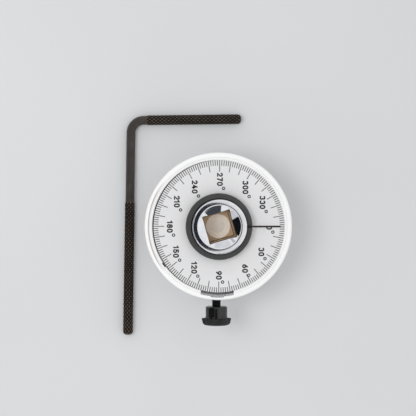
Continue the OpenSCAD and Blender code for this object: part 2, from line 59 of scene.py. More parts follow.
# Faces of the CAD nodes that the pieces below sit on
DIAL_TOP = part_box("dial_plate")[1].z / MM
HEAD_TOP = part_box("drive_shaft")[1].z / MM
HEAD_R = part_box("drive_shaft")[1].x / MM
KNOB_Y0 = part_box("thumb_knob")[1].y / MM
KNOB_Y1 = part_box("thumb_knob")[0].y / MM
SCREW_Y0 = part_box("clamp_screw")[1].y / MM
SCREW_Y1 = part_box("clamp_screw")[0].y / MM
CLAMP_X = (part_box("clamp_screw")[0].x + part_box("clamp_screw")[1].x) / 2 / MM
CLAMP_Z = (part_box("clamp_screw")[0].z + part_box("clamp_screw")[1].z) / 2 / MM

# Share of a flat end's radius at which its inner ring of points lies
END_RING = 0.3

# Square drive
DRIVE_ANGLE = math.radians(15.7)
DRIVE_STEPS = 192
SAME_ANGLE = 1e-4
MALE_HALF = 6.35
MALE_CORNER_R = 8.18
MALE_END_R = 6.15
MALE_BEVEL = 1.2
MALE_TOP = 15.0
JOURNAL_R = 10.985
JOURNAL_BEVEL = 0.5
GROOVE_R = 10.385
GROOVE_Z = (16.55, 17.8)
HEAD_BOTTOM = 32.2
HEAD_BEVEL = 0.3
SOCKET_HALF = 6.5
SOCKET_CORNER = 0.5
SOCKET_FLOOR = 28.15
SOCKET_EDGE = 0.4
SOCKET_EAR = 0.35
SOCKET_EAR_POWER = 24
SOCKET_FLOOR_EDGE = 0.3
DRILL_R = 5.8
DRILL_EDGE = 0.12
DRILL_EDGE_DROP = 0.07
DRILL_FLAT_R = 3.3
DRILL_BOTTOM = 26.65
DISH_BALL_R = 16.0
DISH_R = 10.385
DISH_START_R = DISH_R - 0.08
DISH_STEPS = 14
LIP_CROWN_R = 16.5
LIP_START = math.radians(2)
LIP_END = math.radians(8)
LIP_EDGE = 0.6
LIP_EDGE_DROP = 0.12
LIP_ROUND_STEPS = 14
LIP_CROWN_STEPS = 8
LIP_EDGE_STEPS = 5
BALL_HOLE_R = 2.55
BALL_HOLE_PAST = 3.0
# How far out the hole's cutter reaches, in radii of the male square's corners
BALL_HOLE_OUT = 1.5
BALL_HOLE_STEPS = 64
BALL_HEIGHT = 7.0
COIL_R = 2.0
COIL_WIRE_R = 0.3
COIL_TURNS = 4
COIL_STEPS = 24
COIL_WIRE_STEPS = 12
COIL_ENDS = (-2.7, 2.92)

# Scale on the dial
PRINT_H = 0.03
TICK_STEP = 2
LONG_EVERY = 10
# The printed disc sits a little off-centre and turned in the case
PRINT_CENTRE = Vector((0.3, -0.12))
PRINT_TURN = math.radians(-0.4)
TICK_R1 = 32.38
SHORT_TICK_R0 = 29.85
LONG_TICK_R0 = 27.0
TICK_W = 0.38
# Painted shade: a dark printed crescent at the dial's edge, standing in for the shadowed gap there; its
# middle and half length in degrees round the drive axis
GAP_SHADE_R = 32.46
GAP_SHADE_W = 0.55
GAP_SHADE_MIN_W = 0.03
GAP_SHADE_H = PRINT_H * 1.5
GAP_SHADE_AT = 173
GAP_SHADE_HALF = 80
GAP_SHADE_STEPS = 96
# Middle of each number's digits, from the drive axis
NUMBER_PLACES = {
    0: (24.9, -0.7), 30: (21.05, -12.6), 60: (13.05, -20.75), 90: (0.15, -24.05),
    120: (-12.0, -20.3), 150: (-20.9, -12.45), 180: (-23.9, -0.2), 210: (-20.45, 12.15),
    240: (-11.7, 19.35), 270: (0.65, 23.05), 300: (13.2, 19.05), 330: (21.6, 11.7),
}
DIGIT_H = 2.9
DIGIT_W = 2.0
DIGIT_ADVANCE = 2.25
ONE_ADVANCE = 1.5
STROKE_W = 0.67
ZERO_POWER = 0.8
STROKE_END_ANGLES = [math.radians(a) for a in (25, 50, 72)]
MITRE_LIMIT = 0.5
DEGREE_R = 0.6
DEGREE_STROKE = 0.45
DEGREE_GAP = 1.2
DEGREE_RISE = 1.8

# Painted shade on the white rim: a grey-brown line beside the bezel's joint, standing in for the shadow
# there; it sets in on the side away from zero
JOINT_SHADE = (0.43, 0.38, 0.355)
JOINT_SHADE_R = 34.4
JOINT_SHADE_W = 0.4
JOINT_SHADE_FROM = 26.0
JOINT_SHADE_FULL = 31.0

# Thumb knob, along its axis from the shoulder
KNOB_STEPS = 240
KNOB_BODY_R = 5.5
KNOB_BODY_L = 5.9
KNOB_BODY_RINGS = 8
KNOB_BODY_STEP = 0.5
KNOB_SHOULDER = 0.9
KNOB_FLANGE_R = 7.3
FLANGE_FRONT = KNOB_BODY_L + 0.02
FLANGE_EDGE = 0.35
FLANGE_ROUND = 1.9
FLANGE_TAPER = 0.3
LOBES = 6
LOBE_HOLLOW_R = 2.4
LOBE_DEPTH = 1.1
LOBE_EASE = 0.5
FLUTES = 6
FLUTE_R = 15.0
FLUTE_DEPTH = 0.31
FLUTE_EASE = 0.06
FLUTE_LAND = 0.6
FLUTE_FADE = 0.3
FLUTE_GONE_R = KNOB_BODY_R * 1.2
KNOB_BORE_R = 2.12
KNOB_BORE_L = 6.9

# Clamp block: painted shade below the dial's face, where the block sits in the groove beside the dial, and
# its own tone above; the heights between which they blend
BLOCK_PAINTED_SHADE = (0.40, 0.40, 0.41)
BLOCK_BRIGHT = (0.70, 0.70, 0.72)
BLOCK_SHADE_FADE = (DIAL_TOP - 0.2, DIAL_TOP + 0.5)

# Clamp screw
SCREW_R = 2.1
SCREW_STEPS = 48
THREAD_PITCH = 0.7
THREAD_DEPTH = 0.36
THREAD_STEPS = 10
THREAD_INSET = (0.15, 0.05)
THREAD_FLANK = 1.35
THREAD_CREST = 0.12
THREAD_END = 4.3
STEM_HOLE_R = 0.85
STEM_HOLE_L = 1.85

# Bent rod
ROD_CORNER = Vector((-42.5, 52.9, 2.5))
ROD_ANGLE = math.radians(-0.95)
BEND_ANGLE = math.radians(88.2)
BEND_R = 6.5
LONG_LEG = 109.0
SHORT_LEG = 56.0
LONG_PLAIN = 41.5
SHORT_PLAIN = 8.0
ROD_R = 2.25
KNURL_R = 2.5
KNURL_STEP = 0.4
ROD_ROUND = 1.8
ROD_ROUND_STEPS = 10
ROD_PLAIN_STEPS = 12
ROD_TIP_R = 0.25
BEND_STEPS = 24
KNURL_STARTS = 9
KNURL_PITCH = 2.1
KNURL_DEPTH = 0.3
KNURL_LAND = 0.45
KNURL_FADE = 0.15
KNURL_DIVISIONS = 8
PIT_SHARE = 0.1

# View and floor
VIEW_TARGET = Vector((-5.2, 9.0, 31.65))
VIEW_DISTANCE = 700.0
VIEW_TILT_X = math.radians(3.5)
VIEW_TILT_Y = math.radians(1.2)
VIEW_WIDTH = 203.76
SENSOR = 36.0
CLIP_START = 0.01
FLOOR_HALF = 3000


def lerp(a, b, t):
    return a + (b - a) * t


def clip(value):
    """Value held between 0 and 1."""
    return max(0.0, min(1.0, value))


def round_steps(count):
    """Even angles round a circle."""
    return [TURN * k / count for k in range(count)]


def smooth_min(a, b, k):
    """Smaller of two lengths, rounded over where they cross within k."""
    h = clip(0.5 + 0.5 * (b - a) / k)
    return lerp(b, a, h) - k * h * (1 - h)


def arc(cx, cy, rx, ry, a0, a1, steps):
    """Points of an elliptic arc; angles in degrees."""
    turn = [math.radians(lerp(a0, a1, i / steps)) for i in range(steps + 1)]
    return [(cx + rx * math.cos(a), cy + ry * math.sin(a)) for a in turn]


def square_r(angle, half, corner):
    """Radius of a square with round corners, seen from its centre."""
    x, y = sorted((abs(math.cos(angle)), abs(math.sin(angle))), reverse=True)
    core = half - corner
    if half * y / x <= core:
        return half / x
    along = core * (x + y)
    return along + math.sqrt(along ** 2 - 2 * core ** 2 + corner ** 2)


def make_piece(name, verts, faces, materials, face_slots=None, crease=32):
    """Smooth mesh object from millimetre points, with edges kept sharp above the crease angle."""
    mesh = bpy.data.meshes.new(name)
    mesh.from_pydata([Vector(v) * MM for v in verts], [], faces)
    for material in materials:
        mesh.materials.append(material)
    if face_slots:
        mesh.polygons.foreach_set("material_index", face_slots)
    mesh.validate()
    shape = bmesh.new()
    shape.from_mesh(mesh)
    bmesh.ops.recalc_face_normals(shape, faces=shape.faces)
    shape.to_mesh(mesh)
    shape.free()
    mesh.shade_smooth()
    mesh.set_sharp_from_angle(angle=math.radians(crease))
    obj = bpy.data.objects.new(name, mesh)
    bpy.context.scene.collection.objects.link(obj)
    return obj


def loft(rings, closed=False):
    """Vertices and quads that join rings of points; open ends are capped."""
    n = len(rings[0])
    verts = [p for ring in rings for p in ring]
    faces = []
    last = len(rings) if closed else len(rings) - 1
    for i in range(last):
        a, b = i * n, (i + 1) % len(rings) * n
        for k in range(n):
            m = (k + 1) % n
            faces.append((a + k, a + m, b + m, b + k))
    if not closed:
        faces.append(tuple(reversed(range(n))))
        faces.append(tuple(range((len(rings) - 1) * n, len(rings) * n)))
    return verts, faces


def cut_with(obj, verts, faces):
    """Takes a solid away from a piece."""
    cutter = make_piece(obj.name + "_cut", verts, faces, [obj.data.materials[0]])
    change = obj.modifiers.new("cut", "BOOLEAN")
    change.operation = "DIFFERENCE"
    change.object = cutter
    bpy.context.view_layer.update()
    result = bpy.data.meshes.new_from_object(obj.evaluated_get(bpy.context.evaluated_depsgraph_get()))
    obj.modifiers.clear()
    obj.data = result
    bpy.data.objects.remove(cutter)


# Materials


class Look:
    """Principled material under construction, with textures in the object's own space."""

    def __init__(self, name, material=None):
        self.material = material or bpy.data.materials.new(name)
        self.material.use_nodes = True
        self.tree = self.material.node_tree
        self.shader = self.tree.nodes["Principled BSDF"]
        self.space = self.tree.nodes.new("ShaderNodeTexCoord").outputs["Object"]

    def link(self, source, target):
        self.tree.links.new(source, target)

    def set(self, **values):
        for key, value in values.items():
            self.shader.inputs[key.replace("_", " ")].default_value = value

    def tint(self, colour):
        self.link(colour, self.shader.inputs["Base Color"])

    def gloss(self, noise, low, high):
        """Roughness that varies between two values."""
        self.link(self.spread(noise, low, high), self.shader.inputs["Roughness"])

    def noise(self, scale, detail=3.0, stretch=None):
        texture = self.tree.nodes.new("ShaderNodeTexNoise")
        texture.inputs["Scale"].default_value = scale
        texture.inputs["Detail"].default_value = detail
        source = self.space
        if stretch:
            mapping = self.tree.nodes.new("ShaderNodeMapping")
            mapping.inputs["Scale"].default_value = stretch
            self.link(source, mapping.inputs["Vector"])
            source = mapping.outputs["Vector"]
        self.link(source, texture.inputs["Vector"])
        return texture.outputs["Fac"]

    def along(self, axis):
        """Distance along an axis of the frame."""
        node = self.tree.nodes.new("ShaderNodeVectorMath")
        node.operation = "DOT_PRODUCT"
        node.inputs[1].default_value = axis
        self.link(self.space, node.inputs[0])
        return node.outputs["Value"]

    def radius(self):
        """Distance from the drive axis, for turned faces."""
        flat = self.tree.nodes.new("ShaderNodeVectorMath")
        flat.operation = "MULTIPLY"
        flat.inputs[1].default_value = (1, 1, 0)
        self.link(self.space, flat.inputs[0])
        length = self.tree.nodes.new("ShaderNodeVectorMath")
        length.operation = "LENGTH"
        self.link(flat.outputs["Vector"], length.inputs[0])
        return length.outputs["Value"]

    def rings(self, pitch):
        """Fine turning marks round the drive axis, from 0 to 1."""
        scaled = self.math("MULTIPLY", self.radius(), TURN / (pitch * MM))
        wave = self.math("SINE", scaled, 0)
        return self.math("MULTIPLY_ADD", wave, 0.5, 0.5)

    def math(self, operation, a, b, c=None):
        node = self.tree.nodes.new("ShaderNodeMath")
        node.operation = operation
        for socket, value in zip(node.inputs, (a, b, c)):
            if value is None:
                continue
            if isinstance(value, (int, float)):
                socket.default_value = value
            else:
                self.link(value, socket)
        return node.outputs["Value"]

    def spread(self, fac, low, high, start=0.3, end=0.7):
        """Maps a texture between two numbers."""
        node = self.tree.nodes.new("ShaderNodeMapRange")
        node.inputs["From Min"].default_value = start
        node.inputs["From Max"].default_value = end
        node.inputs["To Min"].default_value = low
        node.inputs["To Max"].default_value = high
        self.link(fac, node.inputs["Value"])
        return node.outputs["Result"]

    def colours(self, fac, low, high, start=0.3, end=0.7):
        """Blends two colours over a texture."""
        node = self.tree.nodes.new("ShaderNodeMix")
        node.data_type = "RGBA"
        for socket, colour in zip([s for s in node.inputs if s.type == "RGBA"], (low, high)):
            if isinstance(colour, tuple):
                socket.default_value = (*colour, 1)
            else:
                self.link(colour, socket)
        self.link(self.spread(fac, 0, 1, start, end), node.inputs["Factor"])
        return next(s for s in node.outputs if s.type == "RGBA")

    def bump(self, height, distance, strength=1.0):
        """Adds fine relief; distance in millimetres."""
        node = self.tree.nodes.new("ShaderNodeBump")
        node.inputs["Strength"].default_value = strength
        node.inputs["Distance"].default_value = distance * MM
        self.link(height, node.inputs["Height"])
        if self.shader.inputs["Normal"].links:
            self.link(self.shader.inputs["Normal"].links[0].from_socket, node.inputs["Normal"])
        self.link(node.outputs["Normal"], self.shader.inputs["Normal"])


def tinted(colour, factor):
    return tuple(c * factor for c in colour)


def mottled(look, colour, scale, less, more):
    """Uneven colour, from less to more times the one given."""
    look.tint(look.colours(look.noise(scale), tinted(colour, less), tinted(colour, more)))


def plastic(name, colour, rough, grain, grain_depth, mottling=0.04, shine=0.5):
    """Moulded plastic with a fine grain and slightly uneven gloss."""
    look = Look(name)
    look.set(Specular_IOR_Level=shine)
    mottled(look, colour, 180, 1 - mottling, 1 + mottling)
    look.gloss(look.noise(420), rough - 0.05, rough + 0.07)
    look.bump(look.noise(grain, 2), grain_depth)
    return look.material


def white_plastic():
    """White case, with a painted shade line beside the bezel's joint on the side away from zero."""
    material = plastic("white_case", (0.925, 0.925, 0.92), 0.34, 1400, 0.0022, mottling=0.012)
    look = Look("joint_painted_shade", material)
    # Painted shade: the base colour darkens in a band at the joint's radius, on the side away from zero
    side = look.spread(look.along((-1, 0, 0)), 0, 1, JOINT_SHADE_FROM * MM, JOINT_SHADE_FULL * MM)
    off = look.math("ABSOLUTE", look.math("SUBTRACT", look.radius(), JOINT_SHADE_R * MM), 0)
    band = look.spread(off, 1, 0, JOINT_SHADE_W / 3 * MM, JOINT_SHADE_W * MM)
    unshaded = look.shader.inputs["Base Color"].links[0].from_socket
    look.tint(look.colours(look.math("MULTIPLY", side, band), unshaded, JOINT_SHADE, 0, 1))
    return material


def metal(name, colour, rough, metallic=1.0, mottling=0.06, grain=1500, grain_depth=0.004, shine=0.5):
    """Metal with uneven gloss and a fine grain."""
    look = Look(name)
    look.set(Metallic=metallic, Specular_IOR_Level=shine)
    mottled(look, colour, 260, 1 - mottling, 1 + mottling)
    look.gloss(look.noise(700), rough * 0.8, rough * 1.3)
    look.bump(look.noise(grain, 2), grain_depth)
    return look.material


def block_metal():
    """Zinc-plated block, with painted shade below the tongue that shows in the rim."""
    look = Look("block_zinc")
    look.set(Metallic=0.9)
    low, high = (z * MM for z in BLOCK_SHADE_FADE)
    look.tint(look.colours(look.along((0, 0, 1)), BLOCK_PAINTED_SHADE, BLOCK_BRIGHT, low, high))
    look.gloss(look.noise(700), 0.24, 0.36)
    look.bump(look.noise(900, 2), 0.0015)
    return look.material


def turned_metal(name, colour, rough, pitch, depth):
    """Metal with turning marks round the drive axis."""
    look = Look(name)
    look.set(Metallic=1.0)
    mottled(look, colour, 300, 0.95, 1.03)
    look.gloss(look.noise(900), rough * 0.75, rough * 1.3)
    look.bump(look.rings(pitch), depth)
    return look.material


def dial_metal():
    """Satin painted disc: a silver coat with a fine speckle and faint clouds."""
    look = Look("dial_satin")
    look.set(Metallic=0.15)
    look.tint(look.colours(look.noise(45, 2), (0.78, 0.78, 0.783), (0.82, 0.82, 0.823)))
    look.gloss(look.noise(2500, 1), 0.40, 0.52)
    look.bump(look.noise(3500, 1), 0.004)
    return look.material


def socket_metal(name, low, high, metallic):
    """Unplated, oil-brown steel inside the socket; the same look also carries painted shade at its edges
    and painted light on its drilled cone.
    """
    look = Look(name)
    look.set(Metallic=metallic)
    look.tint(look.colours(look.noise(350), low, high))
    look.gloss(look.noise(600), 0.38, 0.55)
    look.bump(look.noise(900, 2, stretch=(1, 1, 0.2)), 0.01)
    return look.material


def ink(name, value):
    """Screen-printed ink; its look also serves the painted shade at the dial's edge."""
    look = Look(name)
    mottled(look, (value,) * 3, 1200, 0.8, 1.2)
    look.set(Roughness=0.5)
    return look.material


CHROME = metal("chrome_plate", (0.84, 0.85, 0.87), 0.06, grain=900, grain_depth=0.0008)
CHROME_LIP = metal("chrome_lip", (0.84, 0.85, 0.87), 0.11, grain=700, grain_depth=0.0004)
SOCKET_WALL = socket_metal("socket_wall", (0.40, 0.285, 0.17), (0.48, 0.36, 0.225), 0.15)
SOCKET_BASE = socket_metal("socket_base", (0.60, 0.45, 0.295), (0.68, 0.53, 0.355), 0.15)
# Painted shade: near-black tone for the socket's mouth edge and floor corner, where shade falls
SOCKET_EDGE_SHADE = socket_metal("socket_edge_shade", (0.08, 0.05, 0.025), (0.12, 0.075, 0.04), 0.15)
# Painted light: the drilled cone's tone is raised past the steel's own, to light the bottom of the deep
# hole
SOCKET_DRILL_PAINTED_LIGHT = socket_metal("socket_drill_painted_light", (0.95, 0.88, 0.80), (0.98, 0.92, 0.84), 0)
SOCKET_FLAT = socket_metal("socket_flat", (0.79, 0.74, 0.68), (0.87, 0.82, 0.75), 0)
WHITE = white_plastic()
DIAL = dial_metal()
COLLAR = plastic("collar_black", (0.052, 0.052, 0.052), 0.45, 2600, 0.012, mottling=0.15, shine=0.4)
KNOB = plastic("knob_black", (0.006, 0.006, 0.0065), 0.21, 2200, 0.004, mottling=0.15, shine=0.62)
KNOB_GRIP = plastic("knob_grip", (0.010, 0.010, 0.0105), 0.6, 2200, 0.006, mottling=0.15, shine=0.45)
RUBBER = plastic("ring_rubber", (0.018, 0.018, 0.018), 0.7, 1800, 0.01, mottling=0.1)
NYLON = plastic("nylon", (0.78, 0.76, 0.69), 0.45, 1500, 0.006, mottling=0.03)
ROD_FINISH = {"metallic": 0.3, "mottling": 0.2, "grain": 1300, "grain_depth": 0.006, "shine": 0.35}
ROD_PIT_FINISH = {"metallic": 0.2, "mottling": 0.2, "grain": 1300, "grain_depth": 0.004, "shine": 0.08}
# Painted shade and light on the knurl: the same black oxide, darker in the pits and lighter on the lands
ROD_STEEL = metal("rod_black_oxide", (0.052, 0.044, 0.038), 0.42, **ROD_FINISH)
ROD_LAND_LIT = metal("rod_knurl_land_lit", (0.118, 0.094, 0.077), 0.42, **ROD_FINISH)
ROD_PIT_SHADE = metal("rod_knurl_pit_shade", (0.017, 0.013, 0.010), 0.6, **ROD_PIT_FINISH)
NEEDLE_STEEL = metal("needle_oxide", (0.035, 0.024, 0.020), 0.45, metallic=0.3, mottling=0.15)
CLIP_STEEL = metal("clip_phosphate", (0.06, 0.055, 0.052), 0.45, metallic=0.5, mottling=0.15)
SCREW_STEEL = metal("screw_oxide", (0.006, 0.006, 0.006), 0.4, metallic=0.3, mottling=0.15, shine=0.08)
BRIGHT_STEEL = metal("bright_zinc", (0.66, 0.67, 0.68), 0.30, mottling=0.05, grain=1800, grain_depth=0.001)
BLOCK_STEEL = block_metal()
BALL_STEEL = metal("ball_steel", (0.72, 0.73, 0.74), 0.1)
BRONZE = turned_metal("bush_bronze", (0.50, 0.31, 0.15), 0.28, pitch=0.25, depth=0.003)
BRASS = metal("pad_brass", (0.70, 0.50, 0.19), 0.25)
TICK_INK = ink("tick_ink", 0.085)
# Near-black ink for the painted shade at the dial's edge
GAP_SHADE_INK = ink("gap_shade_dark", 0.02)
NUMBER_INK = ink("number_ink", 0.010)

NODE_LOOKS = {
    "detent_ball": BALL_STEEL,
    "detent_spring": BRIGHT_STEEL,
    "retaining_ring": CLIP_STEEL,
    "wave_washer": BRIGHT_STEEL,
    "backing_washer": BRIGHT_STEEL,
    "hub_bush": BRONZE,
    "thrust_washer": NYLON,
    "case_body": WHITE,
    "bezel_ring": WHITE,
    "dial_plate": DIAL,
    "pointer_ring": COLLAR,
    "friction_ring": RUBBER,
    "pointer_needle": NEEDLE_STEEL,
    "rod_clamp_block": BLOCK_STEEL,
    "clamp_block_screws": BRIGHT_STEEL,
    "pressure_pad": BRASS,
    "drive_shaft": CHROME,
    "clamp_screw": SCREW_STEEL,
    "thumb_knob": KNOB,
    "reaction_rod": ROD_STEEL,
}


def dress_nodes():
    for node, material in NODE_LOOKS.items():
        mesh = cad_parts[node].data
        mesh.materials.clear()
        mesh.materials.append(material)


# Square drive with its dished head


def drive_angles():
    """Even steps round the drive, with the edges of both squares among them."""
    edges = [math.acos(MALE_HALF / MALE_CORNER_R)]
    edges.append(math.atan2(SOCKET_HALF - SOCKET_CORNER, SOCKET_HALF))
    extra = [TURN / 4 * q + s * e for q in range(4) for e in edges for s in (-1, 1)]
    angles = sorted(a % TURN for a in round_steps(DRIVE_STEPS) + extra)
    return [a for i, a in enumerate(angles) if i == 0 or a - angles[i - 1] > SAME_ANGLE]


def male_r(angle):
    flat = MALE_HALF / max(abs(math.cos(angle)), abs(math.sin(angle)))
    return min(flat, MALE_CORNER_R)


def socket_r(angle):
    return square_r(angle, SOCKET_HALF, SOCKET_CORNER)


def mouth_r(angle):
    """Radius of the socket's bevelled mouth, which widens at the corners."""
    corner = abs(math.sin(2 * angle)) ** SOCKET_EAR_POWER
    return socket_r(angle) + SOCKET_EDGE + SOCKET_EAR * corner


def male_bevel_z(angle):
    return MALE_BEVEL * (male_r(angle) - MALE_END_R) / (MALE_CORNER_R - MALE_END_R)


DISH_BALL_Z = HEAD_TOP + math.sqrt(DISH_BALL_R ** 2 - DISH_R ** 2)


def dish_z(r):
    return DISH_BALL_Z - math.sqrt(DISH_BALL_R ** 2 - r ** 2)


def lip_stations():
    """Head's edge and lip from the side upwards: a round, a flat crown, and the edge of the dish."""
    crown_r0 = DISH_R + LIP_EDGE
    crown_r1 = crown_r0 + LIP_CROWN_R * (math.sin(LIP_END) - math.sin(LIP_START))
    crown_z1 = HEAD_TOP - LIP_CROWN_R * (math.cos(LIP_START) - math.cos(LIP_END))
    edge_r = (HEAD_R - crown_r1) / (1 - math.sin(LIP_END))
    stations = []
    for i in range(LIP_ROUND_STEPS + 1):
        tilt = lerp(math.pi / 2, LIP_END, i / LIP_ROUND_STEPS)
        r = crown_r1 + edge_r * (math.sin(tilt) - math.sin(LIP_END))
        stations.append((r, crown_z1 - edge_r * (math.cos(LIP_END) - math.cos(tilt))))
    for i in range(1, LIP_CROWN_STEPS + 1):
        tilt = lerp(LIP_END, LIP_START, i / LIP_CROWN_STEPS)
        r = crown_r0 + LIP_CROWN_R * (math.sin(tilt) - math.sin(LIP_START))
        stations.append((r, HEAD_TOP - LIP_CROWN_R * (math.cos(LIP_START) - math.cos(tilt))))
    for i in range(1, LIP_EDGE_STEPS + 1):
        fall = i / LIP_EDGE_STEPS
        stations.append((DISH_R + LIP_EDGE * (1 - fall), HEAD_TOP - LIP_EDGE_DROP * fall ** 2))
    return stations


# Materials of the drive, and the place of each in the list
DRIVE_LOOKS = [CHROME, CHROME_LIP, SOCKET_WALL, SOCKET_DRILL_PAINTED_LIGHT, SOCKET_FLAT, SOCKET_EDGE_SHADE, SOCKET_BASE]
PLATE, LIP, WALL, DRILL, FLAT, DARK, BASE = range(len(DRIVE_LOOKS))


def drive_stations():
    """(radius, height, material) of each ring, as numbers or functions of the angle."""
    outside = [
        (MALE_END_R * END_RING, 0.0), (MALE_END_R, 0.0), (male_r, male_bevel_z), (male_r, MALE_TOP),
        (JOURNAL_R - JOURNAL_BEVEL, MALE_TOP), (JOURNAL_R, MALE_TOP + JOURNAL_BEVEL),
        (JOURNAL_R, GROOVE_Z[0]), (GROOVE_R, GROOVE_Z[0]), (GROOVE_R, GROOVE_Z[1]),
        (JOURNAL_R, GROOVE_Z[1]), (JOURNAL_R, HEAD_BOTTOM), (HEAD_R - HEAD_BEVEL, HEAD_BOTTOM),
        (HEAD_R, HEAD_BOTTOM + HEAD_BEVEL),
    ]
    stations = [(r, z, PLATE) for r, z in outside]
    stations += [(r, z, LIP) for r, z in lip_stations()]
    for i in range(1, DISH_STEPS + 1):
        t = i / DISH_STEPS
        stations.append((
            lambda a, t=t: lerp(DISH_START_R, mouth_r(a), t),
            lambda a, t=t: dish_z(lerp(DISH_START_R, mouth_r(a), t)),
            PLATE,
        ))
    stations += [
        # The DARK rings carry the painted shade at the mouth's edge and the floor corner
        (socket_r, lambda a: dish_z(mouth_r(a)) - 2 * SOCKET_EDGE, DARK),
        (socket_r, lambda a: lerp(SOCKET_FLOOR, dish_z(socket_r(a)), 0.5), WALL),
        (socket_r, SOCKET_FLOOR + SOCKET_FLOOR_EDGE, WALL),
        (lambda a: socket_r(a) - SOCKET_FLOOR_EDGE, SOCKET_FLOOR, DARK),
        (DRILL_R + DRILL_EDGE, SOCKET_FLOOR, BASE),
        (DRILL_R, SOCKET_FLOOR - DRILL_EDGE_DROP, DRILL),
        (DRILL_FLAT_R, DRILL_BOTTOM, DRILL),
        (DRILL_FLAT_R * END_RING, DRILL_BOTTOM, FLAT),
    ]
    return stations


def detent_axes():
    """Way out of the detent's hole, the way across it, and up."""
    side = Vector((math.cos(DRIVE_ANGLE), math.sin(DRIVE_ANGLE), 0))
    return side, Vector((-side.y, side.x, 0)), Vector((0, 0, 1))


def build_drive():
    angles = drive_angles()
    stations = drive_stations()
    rings = []
    for r, z, _ in stations:
        ring = []
        for a in angles:
            radius = r(a) if callable(r) else r
            height = z(a) if callable(z) else z
            turn = a + DRIVE_ANGLE
            ring.append((radius * math.cos(turn), radius * math.sin(turn), height))
        rings.append(ring)
    verts, faces = loft(rings)
    slots = [s[2] for s in stations[1:] for _ in angles] + [PLATE, FLAT]
    drive = make_piece("drive_body", verts, faces, DRIVE_LOOKS, slots, crease=28)
    side, across, up = detent_axes()
    hole = []
    for end in (side * -BALL_HOLE_PAST, side * MALE_CORNER_R * BALL_HOLE_OUT):
        centre = end + up * BALL_HEIGHT
        hole.append([
            tuple(centre + (across * math.cos(a) + up * math.sin(a)) * BALL_HOLE_R)
            for a in round_steps(BALL_HOLE_STEPS)
        ])
    cut_with(drive, *loft(hole))
    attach(drive, "drive")
    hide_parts("drive_shaft")


def build_coil():
    """Spring behind the detent ball; the real one shortens as the ball is pressed in, and this coil is
    built at one length.
    """
    side, across, up = detent_axes()
    steps = COIL_TURNS * COIL_STEPS
    wire = round_steps(COIL_WIRE_STEPS)
    rings = []
    for i in range(steps + 1):
        turn = TURN * COIL_TURNS * i / steps
        out = across * math.cos(turn) + up * math.sin(turn)
        centre = side * lerp(*COIL_ENDS, i / steps) + up * BALL_HEIGHT + out * COIL_R
        around = [out * math.cos(a) + side * math.sin(a) for a in wire]
        rings.append([tuple(centre + way * COIL_WIRE_R) for way in around])
    coil = make_piece("detent_coil", *loft(rings), [BRIGHT_STEEL], crease=50)
    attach(coil, "drive")
    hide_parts("detent_spring")
    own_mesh(coil)


# Printed scale


def digit_strokes(digit):
    """Strokes of a digit in a box from -1 to 1 across and 0 to 1 up, each with its closed flag."""
    loop = arc(0, 0.30, 1, 0.30, 0, 348, 29)
    tail = [(0.55, 1.0), (-0.15, 0.80), (-0.72, 0.55), (-0.97, 0.34)]
    if digit == "0":
        def squared(value):
            return math.copysign(abs(value) ** ZERO_POWER, value)

        points = [(squared(math.cos(a)), 0.5 + 0.5 * squared(math.sin(a))) for a in round_steps(40)]
        return [(points, True)]
    if digit == "1":
        return [([(-0.75, 0.78), (0.2, 1.0), (0.2, 0.0)], False)]
    if digit == "2":
        return [(arc(0, 0.71, 0.95, 0.29, 165, -38, 16) + [(-0.95, 0.0), (1.0, 0.0)], False)]
    if digit == "3":
        upper = arc(-0.08, 0.745, 0.93, 0.255, 150, -75, 14)
        lower = arc(-0.08, 0.255, 1.03, 0.255, 75, -155, 16)
        return [(upper + lower, False)]
    if digit == "4":
        return [([(0.15, 1.0), (-1.0, 0.27), (1.05, 0.27)], False), ([(0.45, 0.58), (0.45, 0.0)], False)]
    if digit == "5":
        bowl = arc(-0.05, 0.31, 1.0, 0.31, 125, -155, 16)
        return [([(0.85, 1.0), (-0.72, 1.0), (-0.80, 0.53)] + bowl, False)]
    if digit == "6":
        return [(loop, True), (tail, False)]
    if digit == "7":
        return [([(-0.95, 1.0), (0.95, 1.0), (-0.3, 0.0)], False)]
    if digit == "8":
        upper = arc(0, 0.755, 0.86, 0.245, 0, 345, 23)
        return [(upper, True), (arc(0, 0.262, 1.0, 0.262, 0, 345, 23), True)]
    turned = [[(-x, 1 - y) for x, y in stroke] for stroke in (loop, tail)]
    return [(turned[0], True), (turned[1], False)]


def stroke_rings(points, closed, width):
    """Cross-sections of a printed stroke along its points, with round ends where it is open."""
    path = [Vector(p) for p in points]
    half = width / 2
    sections = []
    n = len(path)
    for i, p in enumerate(path):
        before = path[i - 1] if closed or i else p
        after = path[(i + 1) % n] if closed or i < n - 1 else p
        t_in = (p - before).normalized() if p != before else (after - p).normalized()
        t_out = (after - p).normalized() if p != after else t_in
        side_in, side_out = Vector((-t_in.y, t_in.x)), Vector((-t_out.y, t_out.x))
        mitre = side_in + side_out
        mitre = mitre / max(mitre.dot(side_in), MITRE_LIMIT)
        sections.append((p, mitre, 1.0, t_out))
    if not closed:
        def round_end(section, sign):
            p, mitre, _, way = section
            out = way * half * sign
            return [(p + out * math.sin(a), mitre, math.cos(a), None) for a in STROKE_END_ANGLES]

        sections = round_end(sections[0], -1)[::-1] + sections + round_end(sections[-1], 1)
    rings = []
    for p, mitre, share, _ in sections:
        offset = mitre * half * share
        rings.append(strip_ring(p - offset, p + offset, PRINT_H))
    return rings


class Print:
    """Collects printed shapes into one mesh."""

    def __init__(self):
        self.verts, self.faces = [], []

    def add(self, rings, closed):
        verts, faces = loft(rings, closed)
        base = len(self.verts)
        self.verts += verts
        self.faces += [tuple(base + i for i in face) for face in faces]

    def finish(self, name, material):
        piece = make_piece(name, self.verts, self.faces, [material], crease=40)
        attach(piece, "case")


